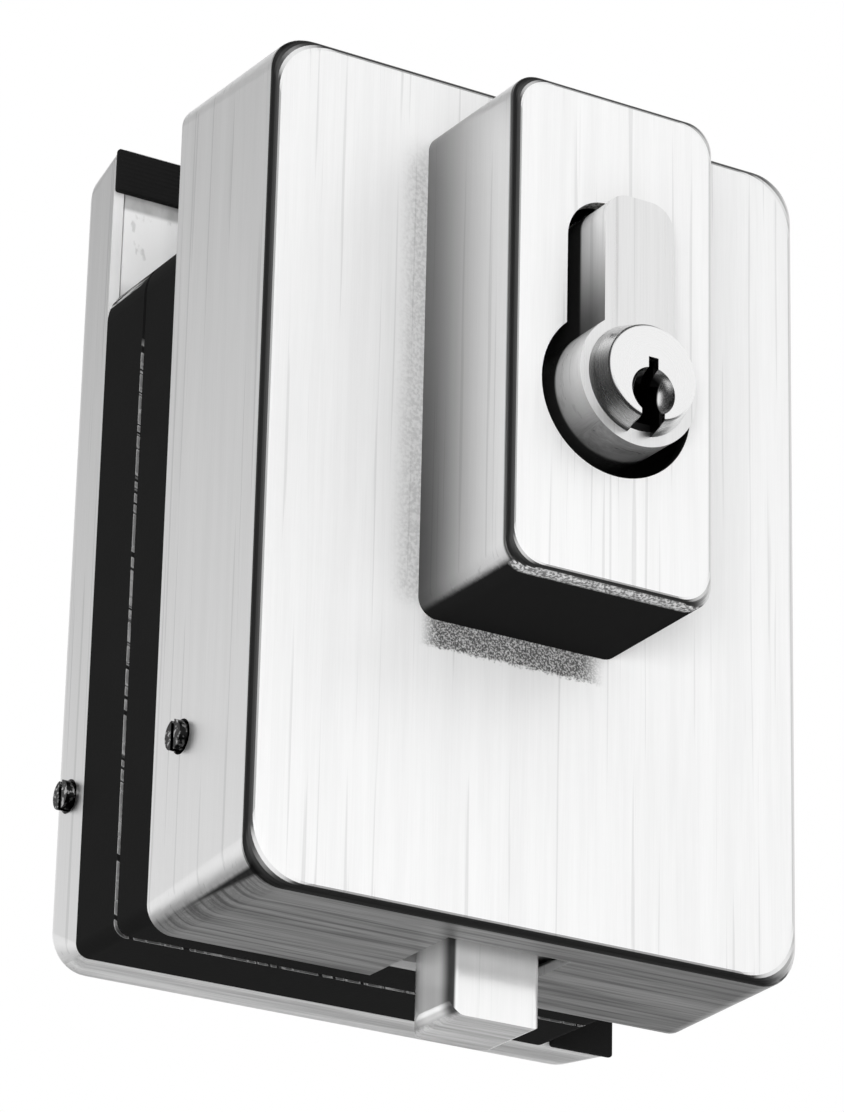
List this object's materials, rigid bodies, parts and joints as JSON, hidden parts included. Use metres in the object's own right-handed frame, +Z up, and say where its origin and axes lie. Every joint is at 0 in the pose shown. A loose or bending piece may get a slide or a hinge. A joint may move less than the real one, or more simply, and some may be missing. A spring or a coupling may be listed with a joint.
{
  "type": "glass door patch lock",
  "caption": "Patch lock for the lower edge of a frameless glass door: two brushed covers clamp the glass, and a profile cylinder in a raised housing drives a bolt down into the floor.",
  "frame": {"origin": "middle of the seat that the lower edge of the door glass stands on, halfway through the glass", "axes": "+X across the door, +Y from the keyed face to the back, +Z up into the glass"},
  "size_m": [0.0814, 0.0819, 0.1223],
  "materials": {
    "cover_steel": "long vertical brush lines, satin",
    "clamp_aluminium": "bare, machined",
    "filler_black": "die cast, black paint, semi-gloss",
    "pad_rubber": "black rubber",
    "case_zinc": "zinc plated",
    "screw_steel": "bright steel",
    "grub_black": "black oxide",
    "cylinder_satin": "satin nickel",
    "pin_brass": "turned brass",
    "spring_steel": "bright spring steel",
    "gear_steel": "machined steel, lightly oiled",
    "bolt_steel": "ground stainless steel",
    "nylon": "natural nylon"
  },
  "bodies": {
    "root": {"front_cover": "cover_steel", "rear_cover": "cover_steel", "cylinder_housing": "cover_steel", "front_clamp_plate": "clamp_aluminium", "rear_clamp_plate": "clamp_aluminium", "front_filler_block": "filler_black", "rear_filler_block": "filler_black", "front_glass_pads": "pad_rubber", "rear_glass_pads": "pad_rubber", "lock_case": "case_zinc", "lock_case_lid": "case_zinc", "brake_block": "case_zinc", "clamp_screws": "screw_steel", "housing_screws": "screw_steel", "lid_screws": "screw_steel", "guide_screws": "screw_steel", "cylinder_fixing_screw": "screw_steel", "brake_set_screw": "screw_steel", "front_grub_screws": "grub_black", "rear_grub_screws": "grub_black", "cylinder_body": "cylinder_satin", "driver_pins": "pin_brass", "chamber_caps": "pin_brass", "bolt_guide": "pin_brass", "axle_bushes": "pin_brass", "driver_springs": "spring_steel", "brake_spring": "spring_steel", "gear_axle": "gear_steel", "brake_plunger": "nylon"},
    "plug_body": {"plug": "cylinder_satin", "key_pins": "pin_brass", "plug_clip": "spring_steel", "cam_gear": "gear_steel"},
    "wheel_body": {"reduction_wheel": "gear_steel", "drive_pinion": "gear_steel"},
    "bolt_body": {"bolt": "bolt_steel"}
  },
  "joints": [
    {"name": "key_turn", "type": "hinge", "parent": "root", "child": "plug_body", "pos_m": [-0.0019, -0.0605, -0.0312], "axis": [0, 1, 0], "range_deg": [0, 360]},
    {"name": "wheel_turn", "type": "hinge", "parent": "root", "child": "wheel_body", "pos_m": [-0.0086, -0.027, -0.06249], "axis": [0, 1, 0], "range_deg": [-120, 0]},
    {"name": "bolt_slide", "type": "slide", "parent": "root", "child": "bolt_body", "axis": [0, 0, 1], "range_m": [0, 0.00942]}
  ],
  "couplings": [
    {"joint": "key_turn", "follows": "bolt_slide", "rad_per_m": 666.67},
    {"joint": "wheel_turn", "follows": "bolt_slide", "rad_per_m": -222.22}
  ]
}
